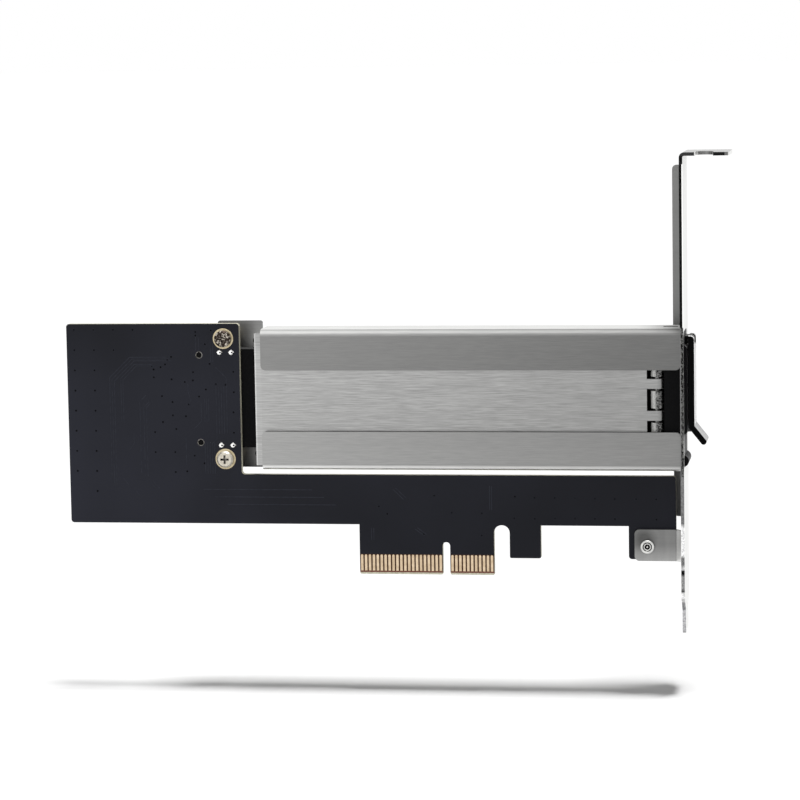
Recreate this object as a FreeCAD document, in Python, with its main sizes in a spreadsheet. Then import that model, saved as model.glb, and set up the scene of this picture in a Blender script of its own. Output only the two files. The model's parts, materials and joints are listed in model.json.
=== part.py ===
"""PCIe x4 adapter card that carries an M.2 drive in a removable, lidded tray.

Millimetres. +X runs along the card to the slot bracket, +Z is up from the
card edge, and the solder side of the board faces -Y. The origin is the
middle of the key notch, at the card edge, on the solder face.
"""
import FreeCAD, Part
import math
import os
import Sketcher

# Each size: alias, value, meaning
SIZES = (
    ("board_left", -96.7, "left edge of the board"),
    ("board_thick", 1.6, "board thickness"),
    ("board_top", 63.6, "top edge of the tall part"),
    ("board_step", -52.0, "right edge of the tall part"),
    ("strip_top", 25.3, "top edge of the strip under the cage"),
    ("strip_right", 57.7, "right end of the strip"),
    ("board_base", 12.7, "bottom edge beside the card edge"),
    ("corner_round", 0.8, "rounding of the board's corners"),
    ("tongue_left", -22.07, "left side of the card-edge tongue"),
    ("tongue_right", 12.1, "right side of the card-edge tongue"),
    ("tongue_round", 0.4, "rounding of the tongue's free corners"),
    ("key_width", 1.9, "key notch width"),
    ("key_height", 8.3, "key notch height"),
    ("hook_left", 16.05, "left side of the latch hook tab"),
    ("hook_right", 23.9, "right side of the latch hook tab"),
    ("hook_base", 4.4, "bottom of the latch hook tab"),
    ("ear_base", 4.4, "bottom of the board's ear under the bracket lug"),
    ("ear_left", 45.9, "left side of that ear"),
    ("bevel_rise", 0.75, "height of the bevel on the card edge"),
    ("bevel_depth", 0.45, "depth of the bevel on each face"),
    ("finger_pitch", 1.0, "pitch of the edge contacts"),
    ("finger_width", 0.62, "width of one contact"),
    ("finger_base", 0.95, "lower end of the contacts"),
    ("finger_top", 4.75, "upper end of the contacts"),
    ("finger_first", 1.5, "first contact from the key's middle"),
    ("finger_thick", 0.04, "plating height above the board"),
    ("fingers_long", 21, "contacts on the long side of the key"),
    ("fingers_short", 11, "contacts on the short side of the key"),
    ("sheet", 0.8, "cage and tray sheet thickness"),
    ("bend", 1.75, "outer bend radius of the cage"),
    ("cage_left", -46.3, "left end of the cage"),
    ("cage_low", 26.6, "underside of the cage"),
    ("cage_high", 62.2, "top of the cage"),
    ("cage_near", -1.6, "solder-side face of the cage lips"),
    ("cage_far", 10.4, "component-side face of the cage"),
    ("lip_high", 10.3, "height of the upper lip"),
    ("lip_low", 9.8, "height of the lower lip"),
    ("lip_round", 1.2, "rounding of the lips' free corners"),
    ("arm_left", -59.4, "left end of the two mounting arms"),
    ("arm_right", -47.8, "right end of the two mounting arms"),
    ("arm_low_base", 25.9, "underside of the lower mounting arm"),
    ("arm_low_top", 32.4, "top of the lower mounting arm"),
    ("arm_high_base", 55.2, "underside of the upper mounting arm"),
    ("arm_high_top", 63.5, "top of the upper mounting arm"),
    ("arm_round", 0.6, "rounding of the arms' outer corners"),
    ("neck_left", -49.4, "where the arms step back to their necks"),
    ("neck_low", 29.4, "upper side of the lower neck"),
    ("neck_high", 58.4, "lower side of the upper neck"),
    ("neck_round", 1.5, "rounding of the arms' corners at the necks"),
    ("neck_notch", 0.95, "radius of the notch in the corner of each neck"),
    ("relief_left", 54.6, "left end of the slot in the cage's top"),
    ("relief_long", 3.6, "length of that slot"),
    ("relief_near", 3.6, "near side of that slot"),
    ("relief_wide", 1.6, "width of that slot"),
    ("post_x", -56.1, "posts between board and arms"),
    ("post_low", 29.2, "height of the lower post"),
    ("post_high", 59.8, "height of the upper post"),
    ("post", 2.2, "post radius"),
    ("thread", 1.2, "radius of the small machine screws"),
    ("thread_play", 0.05, "radial play of screws in their threads"),
    ("hole_play", 0.2, "radial play of screws in plain holes"),
    ("head", 2.1, "radius of the small screw heads"),
    ("head_rise", 1.3, "height of the small screw heads"),
    ("head_bevel", 0.4, "bevel of the screw heads"),
    ("recess_span", 2.2, "length of the cross recess"),
    ("recess_width", 0.55, "width of the cross recess"),
    ("recess_depth", 0.8, "depth of the cross recess"),
    ("ring", 2.6, "outer radius of the copper rings round the screws"),
    ("screw_reach", 4.0, "how far screws enter the posts"),
    ("steel", 0.86, "bracket sheet thickness"),
    ("bracket_x", 59.05, "inner face of the bracket"),
    ("bracket_low", -14.5, "lower tip of the bracket"),
    ("bracket_high", 105.5, "top of the bracket"),
    ("bracket_near", -2.5, "near edge of the bracket"),
    ("bracket_width", 18.42, "bracket width"),
    ("bracket_bend", 1.3, "outer bend radius of the bracket"),
    ("shoulder", -5.0, "height where the bracket starts to narrow"),
    ("shoulder_low", -8.5, "height where the narrow tongue starts"),
    ("tip_width", 10.19, "width of the lower tongue"),
    ("tip_round", 1.0, "rounding of the lower tongue"),
    ("tab_reach", 11.43, "reach of the top tab past the bracket"),
    ("tab_round", 1.5, "rounding of the top tab"),
    ("notch_x", 6.15, "screw notch from the bracket's inner face"),
    ("notch", 2.2, "radius of the screw notch"),
    ("notch_depth", 7.4, "depth of the screw notch"),
    ("flange_reach", 2.8, "stiffening flange along the far edge"),
    ("flange_low", 13.0, "lower end of that flange"),
    ("flange_high", 101.8, "upper end of that flange"),
    ("flange_round", 1.1, "rounding of that flange's corners"),
    ("lug_left", 47.4, "left end of the lug on the board"),
    ("lug_joggle", 57.7, "where the lug leaves the board"),
    ("lug_low", 4.1, "underside of the lug"),
    ("lug_high", 12.0, "top of the lug"),
    ("lug_round", 1.2, "rounding of the lug's corners"),
    ("lug_hole_x", 50.6, "lug screw"),
    ("lug_hole_z", 7.7, "height of the lug screw"),
    ("collar", 1.8, "radius of the extruded thread collar"),
    ("collar_rise", 0.6, "height of the collar"),
    ("tab_gap", 0.2, "gap between the cage's fixing tab and the bracket's flange"),
    ("tab_low", 33.0, "lower end of the fixing tab"),
    ("tab_high", 56.0, "upper end of the fixing tab"),
    ("tab_screw_low", 37.0, "height of the lower screw through the fixing tab"),
    ("tab_screw_high", 52.0, "height of the upper one"),
    ("low_head", 0.9, "height of the low heads on the bracket"),
    ("socket_left", -64.5, "closed end of the drive socket"),
    ("socket_right", -45.5, "open end of the drive socket"),
    ("socket_low", 32.0, "underside of the drive socket"),
    ("socket_high", 57.0, "top of the drive socket"),
    ("socket_rise", 5.0, "height of the socket above the board"),
    ("drive_width", 22.0, "width of the drive that goes in"),
    ("drive_long", 80.0, "length of that drive, to the middle of its fixing notch"),
    ("drive_level", 4.4, "near face of the drive's board"),
    ("drive_thick", 0.8, "thickness of the drive's board"),
    ("drive_deep", 6.0, "depth of the socket's slot"),
    ("slot_play", 0.25, "play of the drive's board in the slot"),
    ("leaf_pitch", 1.0, "pitch of the socket's contact leaves"),
    ("leaf_width", 0.4, "width of a contact leaf"),
    ("leaf_thick", 0.12, "thickness of a contact leaf"),
    ("leaf_count", 20, "contact leaves"),
    ("peg_x", -62.4, "locating pegs of the socket"),
    ("peg_low", 33.4, "height of the lower peg"),
    ("peg_high", 55.65, "height of the upper peg"),
    ("peg", 0.6, "peg radius"),
    ("peg_play", 0.1, "play of the pegs in the board"),
    ("anchor_left", -57.1, "left anchor pins of the socket"),
    ("anchor_right", -54.1, "right anchor pins of the socket"),
    ("anchor_low", 32.7, "height of the lower anchor pins"),
    ("anchor_high", 56.3, "height of the upper anchor pins"),
    ("anchor", 0.84, "side of the square anchor pins"),
    ("anchor_out", 0.35, "anchor pins past the solder face"),
    ("gap", 0.3, "running gap between tray and cage"),
    ("lid_left", -48.0, "left end of the tray's lid"),
    ("lid_turn", 1.8, "depth of the lid's turned-down end"),
    ("tray_left", -46.8, "left end of the tray's base"),
    ("tray_right", 55.0, "right end of the tray's base and lid"),
    ("knuckle", 1.7, "outer radius of the lid hinge"),
    ("knuckle_long", 4.4, "length of a base knuckle"),
    ("window_long", 5.5, "length of the lid's cut-outs at the hinge"),
    ("window_deep", 4.3, "depth of the lid's cut-outs at the hinge"),
    ("hinge_step", 7.95, "pitch of the hinge knuckles"),
    ("hinge_pin", 0.7, "hinge pin radius"),
    ("fixed_play", 0.02, "radial play of a pin in the piece that holds it"),
    ("running_play", 0.05, "radial play of a pin in what turns on it"),
    ("seat", 2.2, "radius of the drive's fixing post"),
    ("drive_step", 20.0, "from the post to the hole for a shorter drive"),
    ("pad_left", -34.0, "left end of the heat pad"),
    ("pad_right", 36.0, "right end of the heat pad"),
    ("pad_thick", 1.5, "heat pad thickness"),
    ("bezel_face", 60.0, "outer face of the bezel"),
    ("bulge_rise", 0.7, "height of the bezel's raised field"),
    ("bulge_low", 35.7, "lower end of the raised field"),
    ("bulge_high", 58.0, "upper end of the raised field"),
    ("bead", 1.5, "radius of the bead along the bezel's foot"),
    ("bead_back", 0.5, "middle of the bead behind the bezel's face"),
    ("stake", 1.0, "radius of the bezel's two pegs through the tray's end wall"),
    ("lever_gap", 0.25, "gap between the raised field and the lever"),
    ("lever_thick", 1.45, "lever thickness"),
    ("lever_back", 0.3, "lever's inner face behind its hinge axis"),
    ("lever_rise", 1.05, "lever above its hinge axis"),
    ("lever_round", 0.95, "rounding of the lever's upper end"),
    ("lever_axis_z", 59.15, "height of the lever hinge axis"),
    ("lever_pin", 0.5, "lever pin radius"),
    ("hinge_lug", 0.95, "radius of the bezel's hinge lug"),
    ("ear", 1.6, "width of each ear of the lever"),
    ("side_gap", 0.3, "side gap of the lever at the hinge lug"),
    ("lever_knee", 37.4, "height of the lever's knee"),
    ("tail_out", 3.1, "reach of the lever's tail"),
    ("tail_drop", 3.9, "drop of the lever's tail"),
    ("coil_left", -88.0, "left side of the power coil"),
    ("coil_low", 36.0, "underside of the power coil"),
    ("coil_side", 6.6, "side of the power coil"),
    ("coil_rise", 2.8, "height of the power coil"),
    ("chip_left", -78.0, "left side of the power chip"),
    ("chip_low", 37.3, "underside of the power chip"),
    ("chip_side", 4.0, "side of the power chip"),
    ("chip_rise", 0.9, "height of the power chip"),
    ("cap_left", -88.0, "left end of the row of capacitors"),
    ("cap_low", 30.5, "underside of the row of capacitors"),
    ("cap_width", 1.6, "capacitor width"),
    ("cap_long", 3.2, "capacitor length"),
    ("cap_rise", 1.4, "capacitor height"),
    ("cap_pitch", 3.0, "pitch of the capacitors"),
    ("cap_count", 6, "capacitors in the row"),
)

doc = FreeCAD.newDocument("adapter_card")
sheet = doc.addObject("Spreadsheet::Sheet", "Sizes")
for row, (alias, number, meaning) in enumerate(SIZES, 1):
    sheet.set(f"A{row}", alias)
    sheet.set(f"B{row}", str(number))
    sheet.setAlias(f"B{row}", alias)
    sheet.set(f"C{row}", meaning)
doc.recompute()


class Term:
    """A number together with the expression that gives it."""

    def __init__(self, text, number):
        self.text = text
        self.number = number

    def __add__(self, other):
        other = as_term(other)
        return Term(f"({self.text} + {other.text})", self.number + other.number)

    def __sub__(self, other):
        other = as_term(other)
        return Term(f"({self.text} - {other.text})", self.number - other.number)

    def __mul__(self, other):
        other = as_term(other)
        return Term(f"({self.text} * {other.text})", self.number * other.number)

    def __truediv__(self, other):
        other = as_term(other)
        return Term(f"({self.text} / {other.text})", self.number / other.number)

    def __neg__(self):
        return self * -1


def as_term(thing):
    return thing if isinstance(thing, Term) else Term(str(thing), float(thing))


def diagonal(one, other):
    """The length of the diagonal over two sides at right angles."""
    text = f"sqrt({one.text} * {one.text} + {other.text} * {other.text})"
    return Term(text, math.hypot(one.number, other.number))


class Sizes:
    """The sheet's cells, read by their aliases."""

    def __getattr__(self, alias):
        return Term(f"Sizes.{alias}", float(sheet.get(alias)))


size = Sizes()
ZERO = as_term(0)


def new_body(name):
    body = doc.addObject("PartDesign::Body", name)
    body.Label = name
    body.AllowCompound = True
    return body


def new_sketch(body, role, offset):
    """A sketch on one of the body's own origin planes, moved along its normal."""
    sketch = body.newObject("Sketcher::SketchObject", f"{body.Name}_sketch")
    plane = [p for p in body.Origin.OriginFeatures if p.Role == role][0]
    sketch.AttachmentSupport = [(plane, "")]
    sketch.MapMode = "FlatFace"
    side = -1 if role == "XZ_Plane" else 1
    sketch.setExpression(".AttachmentOffset.Base.z", (as_term(offset) * side).text)
    return sketch


def pin_point(rules, geometry, end, point):
    """Tie one end of a sketch element to the sheet."""
    rules.append(("DistanceX", geometry, end, point[0]))
    rules.append(("DistanceY", geometry, end, point[1]))


def add_rules(sketch, rules):
    for kind, geometry, end, term in rules:
        if kind == "Radius":
            rule = Sketcher.Constraint(kind, geometry, term.number)
        else:
            rule = Sketcher.Constraint(kind, -1, 1, geometry, end, term.number)
        index = sketch.addConstraint(rule)
        sketch.setExpression(f"Constraints[{index}]", term.text)


def direction(start, end):
    along = FreeCAD.Vector(
        end[0].number - start[0].number, end[1].number - start[1].number, 0
    )
    return along.normalize()


def shifted(point, along, distance):
    """The point moved by a distance along an edge that follows an axis."""
    return (
        point[0] + distance * round(along.x) if round(along.x) else point[0],
        point[1] + distance * round(along.y) if round(along.y) else point[1],
    )


def angle_at(centre, point):
    return math.atan2(
        point[1].number - centre[1].number, point[0].number - centre[0].number
    )


def flat_vector(point):
    return FreeCAD.Vector(point[0].number, point[1].number, 0)


def outline(sketch, corners):
    """A closed outline. A corner (x, y, radius) is rounded between edges along the axes."""
    points = [(as_term(c[0]), as_term(c[1])) for c in corners]
    radii = [as_term(c[2]) if len(c) == 3 else None for c in corners]
    count = len(corners)
    arrive = []
    leave = []
    for i in range(count):
        into = direction(points[i - 1], points[i])
        away = direction(points[i], points[(i + 1) % count])
        radius = radii[i]
        arrive.append(shifted(points[i], into, -radius) if radius else points[i])
        leave.append(shifted(points[i], away, radius) if radius else points[i])
    rules = []
    lines = []
    for i in range(count):
        start = leave[i]
        end = arrive[(i + 1) % count]
        line = sketch.addGeometry(Part.LineSegment(flat_vector(start), flat_vector(end)))
        pin_point(rules, line, 1, start)
        if radii[(i + 1) % count]:
            pin_point(rules, line, 2, end)
        lines.append(line)
    joins = []
    for i in range(count):
        if not radii[i]:
            joins.append((lines[i - 1], 2, lines[i], 1))
            continue
        away = direction(points[i], points[(i + 1) % count])
        into = direction(points[i - 1], points[i])
        centre = shifted(arrive[i], away, radii[i])
        left_turn = into.cross(away).z > 0
        first, last = (arrive[i], leave[i]) if left_turn else (leave[i], arrive[i])
        circle = Part.Circle(flat_vector(centre), FreeCAD.Vector(0, 0, 1), radii[i].number)
        span = (angle_at(centre, first), angle_at(centre, last))
        arc = sketch.addGeometry(Part.ArcOfCircle(circle, *span))
        arrive_end, leave_end = (1, 2) if left_turn else (2, 1)
        joins.append((lines[i - 1], 2, arc, arrive_end))
        joins.append((lines[i], 1, arc, leave_end))
        rules.append(("Radius", arc, 0, radii[i]))
    for join in joins:
        sketch.addConstraint(Sketcher.Constraint("Coincident", *join))
    add_rules(sketch, rules)


def circles(sketch, centres, radius):
    for x, y in centres:
        centre = (as_term(x), as_term(y))
        radius = as_term(radius)
        round_shape = Part.Circle(flat_vector(centre), FreeCAD.Vector(0, 0, 1), radius.number)
        circle = sketch.addGeometry(round_shape)
        rules = [("Radius", circle, 0, radius)]
        pin_point(rules, circle, 3, centre)
        add_rules(sketch, rules)


def box_corners(left, low, right, high, radius=None):
    corners = [(left, low), (right, low), (right, high), (left, high)]
    return [(*corner, radius) for corner in corners] if radius else corners


def square(centre, side):
    half = side * 0.5
    x, z = centre
    return box_corners(x - half, z - half, x + half, z + half)


def raise_sketch(body, sketch, kind, length, flip):
    feature = body.newObject(f"PartDesign::{kind}", f"{body.Name}_{kind.lower()}")
    feature.Profile = sketch
    feature.Reversed = flip
    feature.setExpression("Length", as_term(length).text)
    sketch.Visibility = False
    doc.recompute()
    return feature


def from_sketch(body, kind, role, start, length, corners=(), rounds=()):
    """Add or cut a prism that runs from start towards the plane's positive side."""
    sketch = new_sketch(body, role, start)
    if corners:
        outline(sketch, corners)
    for centres, radius in rounds:
        circles(sketch, centres, radius)
    normal_is_positive = role != "XZ_Plane"
    flip = normal_is_positive if kind == "Pocket" else not normal_is_positive
    before = body.Shape.Volume if kind == "Pocket" else 0.0
    feature = raise_sketch(body, sketch, kind, length, flip)
    if kind == "Pocket" and feature.Shape.Volume >= before:
        raise RuntimeError(f"{body.Label}: a pocket cuts nothing")
    return feature


def add_plate(body, start, length, corners=(), rounds=()):
    """A prism along Y, drawn in X and Z."""
    return from_sketch(body, "Pad", "XZ_Plane", start, length, corners, rounds)


def cut_plate(body, start, length, corners=(), rounds=()):
    return from_sketch(body, "Pocket", "XZ_Plane", start, length, corners, rounds)


def add_bar(body, start, length, corners=(), rounds=()):
    """A prism along X, drawn in Y and Z."""
    return from_sketch(body, "Pad", "YZ_Plane", start, length, corners, rounds)


def cut_bar(body, start, length, corners=(), rounds=()):
    return from_sketch(body, "Pocket", "YZ_Plane", start, length, corners, rounds)


def add_column(body, start, length, corners=(), rounds=()):
    """A prism along Z, drawn in X and Y."""
    return from_sketch(body, "Pad", "XY_Plane", start, length, corners, rounds)


def cut_column(body, start, length, corners=(), rounds=()):
    return from_sketch(body, "Pocket", "XY_Plane", start, length, corners, rounds)


def repeat(body, feature, role, length, count):
    """Copies of a feature along the X, Y or Z axis of the body."""
    pattern = body.newObject("PartDesign::LinearPattern", f"{body.Name}_row")
    pattern.Originals = [feature]
    axis = [a for a in body.Origin.OriginFeatures if a.Role == role][0]
    pattern.Direction = (axis, [""])
    pattern.setExpression("Length", as_term(length).text)
    pattern.setExpression("Occurrences", as_term(count).text)
    body.Tip = pattern
    doc.recompute()
    return pattern


def soften(body, kind, amount, wanted):
    """Fillet or chamfer the edges that the test picks."""
    shape = body.Shape
    names = [f"Edge{n}" for n, edge in enumerate(shape.Edges, 1) if wanted(edge)]
    feature = body.newObject(f"PartDesign::{kind}", f"{body.Name}_{kind.lower()}")
    feature.Base = (body.Tip if body.Tip != feature else feature.BaseFeature, names)
    word = "Radius" if kind == "Fillet" else "Size"
    feature.setExpression(word, as_term(amount).text)
    body.Tip = feature
    doc.recompute()
    return feature


def cross_corners(x, z, span, width):
    """The outline of a cross recess about a point."""
    long_half = span * 0.5
    half = width * 0.5
    steps = (
        (-half, -long_half), (half, -long_half), (half, -half), (long_half, -half),
        (long_half, half), (half, half), (half, long_half), (-half, long_half),
        (-half, half), (-long_half, half), (-long_half, -half), (-half, -half),
    )
    return [(x + dx, z + dz) for dx, dz in steps]


far_face = size.board_thick
bracket_out = size.bracket_x + size.steel
bracket_far = size.bracket_near + size.bracket_width
cage_in_near = size.cage_near + size.sheet
cage_in_far = size.cage_far - size.sheet
tray_near = cage_in_near + size.gap
tray_far = cage_in_far - size.gap
tray_low = size.cage_low + size.sheet + size.gap
tray_high = size.cage_high - size.sheet - size.gap
middle = (size.cage_low + size.cage_high) * 0.5
base_near = tray_near + size.sheet
posts = ((size.post_x, size.post_low), (size.post_x, size.post_high))
lug_screw = ((size.lug_hole_x, size.lug_hole_z),)
tab_far = bracket_far - size.steel - size.tab_gap
tab_middle = (size.cage_far + tab_far) * 0.5
tab_screws = ((tab_middle, size.tab_screw_low), (tab_middle, size.tab_screw_high))
pegs = ((size.peg_x, size.peg_low), (size.peg_x, size.peg_high))
anchors = [
    (x, z)
    for x in (size.anchor_left, size.anchor_right)
    for z in (size.anchor_low, size.anchor_high)
]
OVER = 5
NEAR = 1e-4
bulge_face = size.bezel_face + size.bulge_rise
lever_inner = bulge_face + size.lever_gap
lever_axis = (lever_inner + size.lever_back, size.lever_axis_z)
drive_end = size.socket_right - size.drive_deep + size.drive_long


def main_board():
    """L-shaped circuit board with the card-edge tongue and the latch hook."""
    body = new_body("main_board")
    r = size.corner_round
    key = size.key_width * 0.5
    slot = (size.hook_left - size.tongue_right) * 0.5
    add_plate(body, ZERO, size.board_thick, [
        (size.board_left, size.board_base, r),
        (size.tongue_left, size.board_base),
        (size.tongue_left, ZERO, size.tongue_round),
        (-key, ZERO, size.tongue_round),
        (-key, size.key_height, key * 0.98),
        (key, size.key_height, key * 0.98),
        (key, ZERO, size.tongue_round),
        (size.tongue_right, ZERO, size.tongue_round),
        (size.tongue_right, size.board_base, slot * 0.98),
        (size.hook_left, size.board_base, slot * 0.98),
        (size.hook_left, size.hook_base, size.tongue_round),
        (size.hook_right, size.hook_base, size.tongue_round),
        (size.hook_right, size.board_base),
        (size.ear_left, size.board_base),
        (size.ear_left, size.ear_base, r),
        (size.strip_right, size.ear_base, r),
        (size.strip_right, size.strip_top, r),
        (size.board_step, size.strip_top, r),
        (size.board_step, size.board_top, r),
        (size.board_left, size.board_top, r),
    ])
    screw_hole = size.thread + size.hole_play
    cut_plate(body, ZERO, size.board_thick, rounds=[
        (posts + lug_screw, screw_hole),
        (pegs, size.peg + size.peg_play),
    ])
    for centre in anchors:
        cut_plate(body, ZERO, size.board_thick, square(centre, size.anchor + size.fixed_play * 2))
    cut_bar(body, size.tongue_left - OVER, size.tongue_right - size.tongue_left + 2 * OVER, [
        (ZERO, ZERO), (size.bevel_depth, ZERO), (ZERO, size.bevel_rise),
    ])
    cut_bar(body, size.tongue_left - OVER, size.tongue_right - size.tongue_left + 2 * OVER, [
        (far_face, ZERO), (far_face, size.bevel_rise), (far_face - size.bevel_depth, ZERO),
    ])


def edge_contacts(name, start):
    """Gold contacts on one face of the tongue, on both sides of the key."""
    body = new_body(name)
    half = size.finger_width * 0.5
    for side, count in ((-1, size.fingers_long), (1, size.fingers_short)):
        first = size.finger_first * side
        far = first + size.finger_pitch * side * (count.number - 1)
        left = first if side == 1 else far
        finger = add_plate(body, start, size.finger_thick, box_corners(
            left - half, size.finger_base, left + half, size.finger_top
        ))
        reach = size.finger_pitch * (count.number - 1)
        repeat(body, finger, "X_Axis", reach, count)


def cage():
    """Folded steel channel with two lips, two mounting arms and a fixing tab."""
    body = new_body("cage")
    t = size.sheet
    outer = size.bend
    inner = size.bend - size.sheet
    near, far, low, high = size.cage_near, size.cage_far, size.cage_low, size.cage_high
    add_bar(body, size.cage_left, size.bracket_x - size.cage_left, [
        (near, high - size.lip_high), (near, high, outer), (far, high, outer),
        (far, low, outer), (near, low, outer), (near, low + size.lip_low),
        (near + t, low + size.lip_low), (near + t, low + t, inner),
        (far - t, low + t, inner), (far - t, high - t, inner),
        (near + t, high - t, inner), (near + t, high - size.lip_high),
    ])
    for corner_z, step in ((high - size.lip_high, 1), (low + size.lip_low, -1)):
        for corner_x, way in ((size.cage_left, 1), (size.bracket_x, -1)):
            lip_corner(body, corner_x, way, corner_z, step)
    left, right, neck = size.arm_left, size.arm_right, size.neck_left
    root = size.cage_left + outer
    add_plate(body, far - t, t, [
        (left, size.arm_low_base, size.arm_round), (right, size.arm_low_base, size.arm_round),
        (right, low), (root, low), (root, size.neck_low), (neck, size.neck_low),
        (neck, size.arm_low_top, size.neck_round), (left, size.arm_low_top, size.arm_round),
    ])
    add_plate(body, far - t, t, [
        (left, size.arm_high_base, size.arm_round), (neck, size.arm_high_base, size.neck_round),
        (neck, size.neck_high), (root, size.neck_high), (root, high - t), (right, high - t),
        (right, size.arm_high_top, size.arm_round), (left, size.arm_high_top, size.arm_round),
    ])
    cut_plate(body, far - t, t, rounds=[
        ([(neck, size.neck_low), (neck, size.neck_high)], size.neck_notch)
    ])
    cut_plate(body, far - t, t, rounds=[(posts, size.thread + size.fixed_play)])
    add_column(body, size.tab_low, size.tab_high - size.tab_low, [
        (size.bracket_x - outer, far - t), (size.bracket_x, far - t),
        (size.bracket_x, tab_far), (size.bracket_x - t, tab_far),
        (size.bracket_x - t, far), (size.bracket_x - outer, far),
    ])
    cut_bar(body, size.bracket_x - t, t, rounds=[(tab_screws, size.thread + size.thread_play)])
    cut_column(body, high - t, t, box_corners(
        size.relief_left, size.relief_near,
        size.relief_left + size.relief_long, size.relief_near + size.relief_wide,
    ))


def lip_corner(body, x, way, z, step):
    """Round one free corner of a lip: cut the square outside a quarter circle."""
    r = size.lip_round
    sketch = new_sketch(body, "XZ_Plane", size.cage_near)
    centre = (x + r * way, z + r * step)
    ends = ((x, z + r * step), (x + r * way, z))
    corner = (x, z)
    lines = [
        sketch.addGeometry(Part.LineSegment(flat_vector(ends[0]), flat_vector(corner))),
        sketch.addGeometry(Part.LineSegment(flat_vector(corner), flat_vector(ends[1]))),
    ]
    angles = sorted(angle_at(centre, end) for end in ends)
    if angles[1] - angles[0] > math.pi:
        angles = [angles[1], angles[0] + 2 * math.pi]
    circle = Part.Circle(flat_vector(centre), FreeCAD.Vector(0, 0, 1), r.number)
    arc = sketch.addGeometry(Part.ArcOfCircle(circle, *angles))
    start = sketch.Geometry[arc].StartPoint
    near_first = (start - flat_vector(ends[0])).Length < (start - flat_vector(ends[1])).Length
    first_end, second_end = (1, 2) if near_first else (2, 1)
    for join in (
        (lines[0], 2, lines[1], 1), (lines[0], 1, arc, first_end), (lines[1], 2, arc, second_end),
    ):
        sketch.addConstraint(Sketcher.Constraint("Coincident", *join))
    rules = [("Radius", arc, 0, r)]
    pin_point(rules, lines[0], 1, ends[0])
    pin_point(rules, lines[1], 1, corner)
    pin_point(rules, lines[1], 2, ends[1])
    add_rules(sketch, rules)
    raise_sketch(body, sketch, "Pocket", size.sheet, False)


def posts_between():
    """Two threaded posts, riveted into the cage's arms and screwed to the board."""
    body = new_body("cage_posts")
    length = size.cage_far - size.sheet - far_face
    add_plate(body, far_face, length, rounds=[(posts, size.post)])
    add_plate(body, far_face + length, size.sheet, rounds=[(posts, size.thread)])
    bore = size.screw_reach + size.sheet
    cut_plate(body, far_face, bore, rounds=[(posts, size.thread + size.thread_play)])


def ring_pads():
    """Copper rings on the solder face under the two screw heads."""
    body = new_body("screw_pads")
    add_plate(body, -size.finger_thick, size.finger_thick, rounds=[(posts, size.ring)])
    cut_plate(body, -size.finger_thick, size.finger_thick, rounds=[
        (posts, size.thread + size.hole_play)
    ])


def screws_along_y(name, centres, seat, towards, reach):
    """Screws along Y. Their heads stand off the seat, and those in front are bevelled."""
    body = new_body(name)
    head_start = seat - size.head_rise if towards == 1 else seat
    shank_start = seat if towards == 1 else seat - reach
    add_plate(body, head_start, size.head_rise, rounds=[(centres, size.head)])
    if towards == 1:
        soften(body, "Chamfer", size.head_bevel, lambda edge: is_rim(
            edge, head_start.number, size.head.number
        ))
    add_plate(body, shank_start, reach, rounds=[(centres, size.thread)])
    recess_start = head_start if towards == 1 else seat + size.head_rise - size.recess_depth
    for x, z in centres:
        cut_plate(body, recess_start, size.recess_depth, cross_corners(
            x, z, size.recess_span, size.recess_width
        ))


def is_rim(edge, level, radius):
    """Whether an edge is a full circle of that radius at that Y."""
    curve = edge.Curve
    if not isinstance(curve, Part.Circle):
        return False
    return abs(curve.Radius - radius) < NEAR and abs(curve.Center.y - level) < NEAR


def bracket():
    """Full-height slot bracket, folded from one sheet."""
    body = new_body("bracket")
    t = size.steel
    low_near = size.bracket_near + (size.bracket_width - size.tip_width) * 0.5
    low_far = low_near + size.tip_width
    add_bar(body, size.bracket_x, t, [
        (low_near, size.bracket_low, size.tip_round),
        (low_far, size.bracket_low, size.tip_round),
        (low_far, size.shoulder_low),
        (bracket_far, size.shoulder),
        (bracket_far, size.bracket_high - size.bracket_bend),
        (size.bracket_near, size.bracket_high - size.bracket_bend),
        (size.bracket_near, size.shoulder),
        (low_near, size.shoulder_low),
    ])
    top_bend(body)
    cut_bar(body, size.bracket_x, t, box_corners(
        cage_in_near, size.cage_low + size.sheet, cage_in_far, size.cage_high - size.sheet
    ))
    cut_bar(body, size.bracket_x, t, rounds=[(tab_screws, size.thread + size.hole_play)])
    add_column(body, size.flange_low, size.flange_high - size.flange_low, [
        (size.bracket_x - size.flange_reach, bracket_far - t),
        (size.bracket_x, bracket_far - t),
        (bracket_out, bracket_far - t),
        (bracket_out, bracket_far),
        (size.bracket_x - size.flange_reach, bracket_far),
    ])
    flange_edge = (size.bracket_x - size.flange_reach).number
    soften(body, "Fillet", size.flange_round, lambda edge: is_free_corner(edge, flange_edge))
    add_column(body, size.lug_low, size.lug_high - size.lug_low, [
        (size.lug_left, -t), (size.lug_joggle, -t),
        (size.bracket_x, size.bracket_near), (bracket_out, size.bracket_near),
        (bracket_out, size.bracket_near + t), (size.bracket_x + t * 0.5, size.bracket_near + t),
        (size.lug_joggle + t * 0.5, ZERO), (size.lug_left, ZERO),
    ])
    lug_edge = size.lug_left.number
    soften(body, "Fillet", size.lug_round, lambda edge: is_free_corner(edge, lug_edge))
    collar_start = -t - size.collar_rise
    add_plate(body, collar_start, size.collar_rise, rounds=[(lug_screw, size.collar)])
    cut_plate(body, collar_start, size.collar_rise + t, rounds=[
        (lug_screw, size.thread + size.thread_play)
    ])


def is_free_corner(edge, x):
    """Whether an edge runs through the sheet, along Y, at that X."""
    ends = [v.Point for v in edge.Vertexes]
    if len(ends) != 2:
        return False
    along_y = abs(ends[0].y - ends[1].y) > 0.5 * size.steel.number
    return along_y and all(abs(p.x - x) < NEAR for p in ends)


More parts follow.
